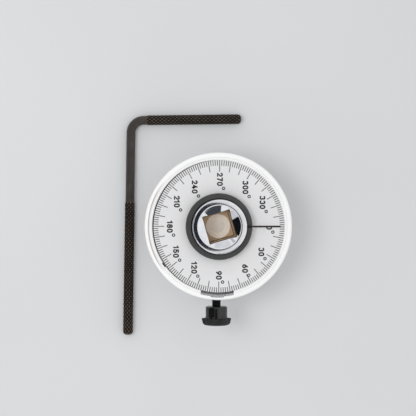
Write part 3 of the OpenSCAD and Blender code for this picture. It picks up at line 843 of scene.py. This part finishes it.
def strip_ring(right, left, height):
    """Cross-section of a printed strip between two points on the dial."""
    low, high = DIAL_TOP, DIAL_TOP + height
    return [(*right, low), (*right, high), (*left, high), (*left, low)]


def on_dial(reading):
    """Direction of a scale reading; the scale counts clockwise from +X."""
    a = PRINT_TURN - math.radians(reading)
    return Vector((math.cos(a), math.sin(a)))


def build_ticks():
    ticks = Print()
    for reading in range(0, 360, TICK_STEP):
        way = on_dial(reading)
        off = PRINT_CENTRE.dot(way)
        r1 = math.sqrt(off ** 2 - PRINT_CENTRE.length_squared + TICK_R1 ** 2) - off
        r0 = SHORT_TICK_R0 if reading % LONG_EVERY else LONG_TICK_R0
        side = Vector((-way.y, way.x)) * TICK_W / 2
        ends = [PRINT_CENTRE + way * r for r in (r0, r1)]
        ticks.add([strip_ring(p - side, p + side, PRINT_H) for p in ends], False)
    ticks.finish("scale_ticks", TICK_INK)


def build_seam():
    """Painted shade: a dark strip standing in for the shadowed gap beside the disc's edge, on the side
    that it sits away from.
    """
    gap_shade = Print()
    rings = []
    for i in range(GAP_SHADE_STEPS + 1):
        run = 2 * i / GAP_SHADE_STEPS - 1
        a = math.radians(GAP_SHADE_AT + GAP_SHADE_HALF * run)
        way = Vector((math.cos(a), math.sin(a)))
        width = GAP_SHADE_MIN_W + GAP_SHADE_W * (1 - run ** 2)
        rings.append(strip_ring(way * (GAP_SHADE_R - width), way * GAP_SHADE_R, GAP_SHADE_H))
    gap_shade.add(rings, False)
    gap_shade.finish("dial_gap_shade", GAP_SHADE_INK)


def build_numbers():
    """All numbers stand the same way: their top points to +X and they run towards -Y."""
    numbers = Print()
    up, along = Vector((1, 0)), Vector((0, -1))
    for reading, place in NUMBER_PLACES.items():
        text = str(reading)
        advances = [ONE_ADVANCE if d == "1" else DIGIT_ADVANCE for d in text]
        start = Vector(place) - along * sum(advances) / 2
        run = 0.0
        for digit, advance in zip(text, advances):
            middle = start + along * (run + advance / 2)
            run += advance
            for stroke, closed in digit_strokes(digit):
                points = [
                    middle + along * x * (DIGIT_W - STROKE_W) / 2 + up * (y - 0.5) * (DIGIT_H - STROKE_W)
                    for x, y in stroke
                ]
                numbers.add(stroke_rings(points, closed, STROKE_W), closed)
        centre = start + along * (run + DEGREE_GAP - (DIGIT_ADVANCE - DIGIT_W) / 2) + up * DEGREE_RISE
        ring = [centre + Vector(p) * DEGREE_R for p in arc(0, 0, 1, 1, 0, 345, 23)]
        numbers.add(stroke_rings(ring, True, DEGREE_STROKE), True)
    numbers.finish("scale_numbers", NUMBER_INK)


# Thumb knob and clamp screw


def hollow_r(angle, count, first, body_r, tool_r, depth):
    """Radius left by a ring of round hollows cut into a cylinder."""
    spacing = TURN / count
    off = (angle - first + spacing / 2) % spacing - spacing / 2
    reach = body_r + tool_r - depth
    inside = tool_r ** 2 - (reach * math.sin(off)) ** 2
    return reach * math.cos(off) - math.sqrt(inside) if inside > 0 else body_r * 2


def knob_r(angle, along, outline):
    """Outline of the knob, less its flutes and the hollows between its lobes."""
    if along > KNOB_BODY_L:
        hollow = hollow_r(angle, LOBES, math.pi / 2, KNOB_FLANGE_R, LOBE_HOLLOW_R, LOBE_DEPTH)
        return smooth_min(outline, hollow, LOBE_EASE)
    flute = hollow_r(angle, FLUTES, 0, KNOB_BODY_R, FLUTE_R, FLUTE_DEPTH)
    fade = max(0.0, along - (KNOB_BODY_L - FLUTE_LAND - FLUTE_FADE)) / FLUTE_FADE
    return smooth_min(outline, lerp(flute, FLUTE_GONE_R, min(1.0, fade)), FLUTE_EASE)


def on_clamp(angle, y, r):
    """Point round the clamp screw's axis, at an angle from +X towards +Z."""
    return (CLAMP_X + r * math.cos(angle), y, CLAMP_Z + r * math.sin(angle))


def clamp_ring(angles, y, r):
    return [on_clamp(a, y, r) for a in angles]


def build_knob():
    length = KNOB_Y0 - KNOB_Y1
    shoulder = arc(KNOB_BODY_R - KNOB_SHOULDER, KNOB_SHOULDER, KNOB_SHOULDER, KNOB_SHOULDER, -90, 0, 8)
    end_r = KNOB_FLANGE_R - FLANGE_TAPER - FLANGE_ROUND
    end = arc(end_r, length - FLANGE_ROUND, FLANGE_ROUND, FLANGE_ROUND, 0, 90, 12)
    edge_r = KNOB_FLANGE_R - FLANGE_EDGE
    edge = arc(edge_r, FLANGE_FRONT + FLANGE_EDGE, FLANGE_EDGE, FLANGE_EDGE, -90, 0, 5)
    land = KNOB_BODY_L - FLUTE_LAND
    places = [KNOB_SHOULDER + i * KNOB_BODY_STEP for i in range(1, KNOB_BODY_RINGS + 1)]
    places += [land - FLUTE_FADE, land - FLUTE_FADE / 2, land, KNOB_BODY_L]
    body = [(KNOB_BODY_R, along) for along in places]
    angles = round_steps(KNOB_STEPS)
    bore = [clamp_ring(angles, y, KNOB_BORE_R) for y in (KNOB_Y0 - KNOB_BORE_L, KNOB_Y0)]
    outside = [
        [on_clamp(a, KNOB_Y0 - along, knob_r(a, along, r)) for a in angles]
        for r, along in shoulder + body + edge + end
    ]
    verts, faces = loft(bore + outside + [clamp_ring(angles, KNOB_Y1, end_r * END_RING)])
    # Points of the flange come after those of the bore, the shoulder and the body
    flange = (1 + len(shoulder) + len(body)) * len(angles)
    slots = [int(min(face) >= flange) for face in faces]
    knob = make_piece("knob_moulding", verts, faces, [KNOB, KNOB_GRIP], slots, crease=40)
    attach(knob, "clamp_knob")
    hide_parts("thumb_knob")


def build_screw():
    angles = round_steps(SCREW_STEPS)
    length = SCREW_Y0 - SCREW_Y1
    core_r = SCREW_R - THREAD_DEPTH
    rings = [
        clamp_ring(angles, SCREW_Y0 - STEM_HOLE_L, STEM_HOLE_R),
        clamp_ring(angles, SCREW_Y0, STEM_HOLE_R),
        clamp_ring(angles, SCREW_Y0, core_r),
    ]
    steps = int(length / THREAD_PITCH * THREAD_STEPS)
    for i in range(steps + 1):
        along = lerp(THREAD_INSET[0], length - THREAD_INSET[1], i / steps)
        lead = min(1.0, along / THREAD_PITCH)
        run_out = clip((THREAD_END - along) / THREAD_PITCH)
        ring = []
        for a in angles:
            wave = (along / THREAD_PITCH + a / TURN) % 1.0
            flank = run_out * clip(THREAD_FLANK * abs(2 * wave - 1) - THREAD_CREST)
            ring.append(on_clamp(a, SCREW_Y0 - along, SCREW_R - THREAD_DEPTH * max(flank, 1 - lead)))
        rings.append(ring)
    rings.append(clamp_ring(angles, SCREW_Y1, core_r))
    screw = make_piece("screw_thread", *loft(rings), [SCREW_STEEL], crease=50)
    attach(screw, "clamp_knob")
    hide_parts("clamp_screw")


# Bent rod with its knurled legs


def rod_path():
    """Rings along the rod, from the long leg's end to the short one's.

    Each has its point, its way, its distance from the corner, and the leg's plain and whole length.
    """
    tangent = BEND_R * math.tan(BEND_ANGLE / 2)
    turn = Matrix.Rotation(ROD_ANGLE, 3, "Z")
    long_way = turn @ Vector((0, -1, 0))
    short_way = turn @ (Matrix.Rotation(math.pi / 2 - BEND_ANGLE, 3, "Z") @ Vector((1, 0, 0)))
    bend_centre = ROD_CORNER + turn @ Vector((BEND_R, -tangent, 0))

    def leg(way, plain, length, sign):
        fine = KNURL_PITCH / KNURL_DIVISIONS
        steps = int((length - ROD_ROUND - plain) / fine)
        smooth = [lerp(tangent, plain, i / ROD_PLAIN_STEPS) for i in range(1, ROD_PLAIN_STEPS)]
        knurled = [lerp(plain, length - ROD_ROUND, i / steps) for i in range(steps)]
        swing = [math.pi / 2 * i / ROD_ROUND_STEPS for i in range(ROD_ROUND_STEPS + 1)]
        ends = [length - ROD_ROUND * (1 - math.sin(a)) for a in swing]
        return [(ROD_CORNER + way * s, way * sign, s, plain, length) for s in smooth + knurled + ends]

    bend = []
    for i in range(BEND_STEPS + 1):
        a = ROD_ANGLE + lerp(math.pi, math.pi - BEND_ANGLE, i / BEND_STEPS)
        out = Vector((math.cos(a), math.sin(a), 0))
        bend.append((bend_centre + out * BEND_R, Vector((out.y, -out.x, 0)), 0.0, LONG_PLAIN, LONG_LEG))
    long_part = leg(long_way, LONG_PLAIN, LONG_LEG, -1)
    return long_part[::-1] + bend + leg(short_way, SHORT_PLAIN, SHORT_LEG, 1)


def rod_r(s, plain, length):
    """Rod's radius over its knurl: plain, then stepped up, then rounded off at the end."""
    left = length - s
    if left < ROD_ROUND:
        return KNURL_R - ROD_ROUND + math.sqrt(max(0.0, ROD_ROUND ** 2 - (ROD_ROUND - left) ** 2))
    return lerp(ROD_R, KNURL_R, clip((s - plain) / KNURL_STEP))


def knurl_pit(angle, s, plain, length):
    """How deep a point lies in the knurl's crossing grooves, from 0 to 1."""
    rise = clip((s - plain) / KNURL_STEP)
    fade = clip((length - s) / ROD_ROUND - KNURL_FADE)
    share = KNURL_STARTS * angle / TURN
    grooves = [abs(2 * ((share + way * s / KNURL_PITCH) % 1.0) - 1) for way in (1, -1)]
    return rise * fade * max(0.0, (max(grooves) - KNURL_LAND) / (1 - KNURL_LAND))


def build_rod():
    angles = round_steps(KNURL_STARTS * KNURL_DIVISIONS)
    up = Vector((0, 0, 1))
    rings, pits, knurled = [], [], []
    for point, way, s, plain, length in rod_path():
        side = up.cross(way)
        over = rod_r(s, plain, length)
        ring = []
        for a in angles:
            pit = knurl_pit(a, s, plain, length)
            r = max(over - KNURL_DEPTH * pit, ROD_TIP_R)
            ring.append(tuple(point + (side * math.cos(a) + up * math.sin(a)) * r))
            pits.append(pit)
            knurled.append(plain < s < length - ROD_ROUND / 2)
        rings.append(ring)
    verts, faces = loft(rings)
    # Knurl faces in the grooves take the painted-shade tone, those on the lands the painted-light tone
    steel, groove, land = range(3)
    slots = []
    for face in faces:
        pit = sum(pits[i] for i in face) / len(face)
        in_knurl = any(knurled[i] for i in face)
        slots.append(steel if not in_knurl else groove if pit > PIT_SHARE else land)
    rod = make_piece("rod_knurled", verts, faces, [ROD_STEEL, ROD_PIT_SHADE, ROD_LAND_LIT], slots, crease=60)
    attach(rod, "rod")
    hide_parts("reaction_rod")


# Studio


def build_floor():
    look = Look("studio_floor")
    look.tint(look.colours(look.noise(6, 2), (0.66, 0.67, 0.68), (0.69, 0.70, 0.71)))
    look.set(Roughness=0.75)
    verts = [(x * FLOOR_HALF, y * FLOOR_HALF, 0) for x, y in ((-1, -1), (1, -1), (1, 1), (-1, 1))]
    floor = make_piece("studio_floor", verts, [(0, 1, 2, 3)], [look.material])


def direction(azimuth, from_top):
    """Unit vector from two angles in degrees: round from +X, and down from overhead."""
    a, t = math.radians(azimuth), math.radians(from_top)
    return Vector((math.sin(t) * math.cos(a), math.sin(t) * math.sin(a), math.cos(t)))


# Dark flags that polished metal mirrors: azimuth, half angle and colour of those at the sides
SIDE_FLAGS = [
    (95, 24, (0.72, 0.73, 0.75)),
    (222, 16, (0.60, 0.61, 0.64)),
    (184, 28.5, (0.005, 0.006, 0.008)),
    (294, 23, (0.055, 0.058, 0.07)),
    (133, 3.5, (0.50, 0.53, 0.60)),
]
# Angles from overhead between which those flags hang
SIDE_FLAG_TOP = 40
SIDE_FLAG_BOTTOM = 80
# Azimuth, angle from overhead, half angle and colour of the one above
TOP_FLAG = (192, 8, 14, (0.012, 0.015, 0.025))
# Half angle of the greyer patch overhead, and its light
OVERHEAD = 18
OVERHEAD_LIGHT = 0.88
FLAG_EDGE = 2.0
DOME_LIGHT = 0.81
DOME_BLUE = 1.01
# How much brighter mirrors see the tent
MIRRORED_LIGHT = 1.1


def build_world():
    """White tent; mirrors also see its dark flags."""
    world = bpy.data.worlds.new("tent")
    bpy.context.scene.world = world
    world.use_nodes = True
    tree = world.node_tree
    way = tree.nodes.new("ShaderNodeTexCoord").outputs["Generated"]

    def vector(operation, source, other=(0, 0, 0)):
        node = tree.nodes.new("ShaderNodeVectorMath")
        node.operation = operation
        node.inputs[1].default_value = other
        tree.links.new(source, node.inputs[0])
        return node.outputs["Value" if operation == "DOT_PRODUCT" else "Vector"]

    def within(source, axis, half):
        """1 within the half angle of an axis, fading to 0 at its edge."""
        node = tree.nodes.new("ShaderNodeMapRange")
        node.interpolation_type = "SMOOTHSTEP"
        node.inputs["From Min"].default_value = math.cos(math.radians(half + FLAG_EDGE))
        node.inputs["From Max"].default_value = math.cos(math.radians(half))
        tree.links.new(vector("DOT_PRODUCT", source, axis), node.inputs["Value"])
        return node.outputs["Result"]

    def mix(factor, first, second):
        node = tree.nodes.new("ShaderNodeMix")
        node.data_type = "RGBA"
        sockets = [s for s in node.inputs if s.type == "RGBA"]
        for socket, value in zip(sockets, (first, second)):
            if isinstance(value, tuple):
                socket.default_value = value
            else:
                tree.links.new(value, socket)
        tree.links.new(factor, node.inputs["Factor"])
        return next(s for s in node.outputs if s.type == "RGBA")

    tent = (DOME_LIGHT, DOME_LIGHT, DOME_LIGHT * DOME_BLUE, 1)
    bright = (*(c * MIRRORED_LIGHT for c in tent[:3]), 1)
    level = vector("NORMALIZE", vector("MULTIPLY", way, (1, 1, 0)))
    colour = bright
    for azimuth, half, dark in SIDE_FLAGS:
        colour = mix(within(level, direction(azimuth, 90), half), colour, (*dark, 1))
    colour = mix(within(way, (0, 0, 1), SIDE_FLAG_TOP), colour, bright)
    colour = mix(within(way, (0, 0, -1), 180 - SIDE_FLAG_BOTTOM), colour, bright)
    grey = (*(c * OVERHEAD_LIGHT for c in bright[:3]), 1)
    colour = mix(within(way, (0, 0, 1), OVERHEAD), colour, grey)
    azimuth, from_top, half, dark = TOP_FLAG
    colour = mix(within(way, direction(azimuth, from_top), half), colour, (*dark, 1))
    glossy = tree.nodes.new("ShaderNodeLightPath").outputs["Is Glossy Ray"]
    tree.links.new(mix(glossy, tent, colour), tree.nodes["Background"].inputs["Color"])


def build_lamp(name, azimuth, from_top, distance, size, power):
    data = bpy.data.lights.new(name, "AREA")
    data.size = size * MM
    data.energy = power
    lamp = bpy.data.objects.new(name, data)
    way = direction(azimuth, from_top)
    lamp.location = way * distance * MM
    lamp.rotation_euler = way.to_track_quat("Z", "Y").to_euler()
    lamp.visible_glossy = False
    bpy.context.scene.collection.objects.link(lamp)


def build_camera():
    data = bpy.data.cameras.new("camera")
    data.sensor_width = SENSOR
    data.lens = SENSOR * VIEW_DISTANCE / VIEW_WIDTH
    data.clip_start = CLIP_START
    camera = bpy.data.objects.new("camera", data)
    back = Vector((-math.tan(VIEW_TILT_X), math.tan(VIEW_TILT_Y), 1)).normalized()
    right = Vector((0, 1, 0)).cross(back).normalized()
    up = back.cross(right)
    place = Matrix((right, up, back)).transposed().to_4x4()
    place.translation = (VIEW_TARGET + back * VIEW_DISTANCE) * MM
    camera.matrix_world = place
    bpy.context.scene.collection.objects.link(camera)
    bpy.context.scene.camera = camera


dress_nodes()
build_drive()
build_coil()
build_ticks()
build_seam()
build_numbers()
build_knob()
build_screw()
build_rod()
build_floor()
build_world()
build_lamp("key", azimuth=172, from_top=24, distance=700, size=260, power=1.2)
build_camera()
bpy.context.scene.view_settings.view_transform = "Standard"

bpy.context.view_layer.update()
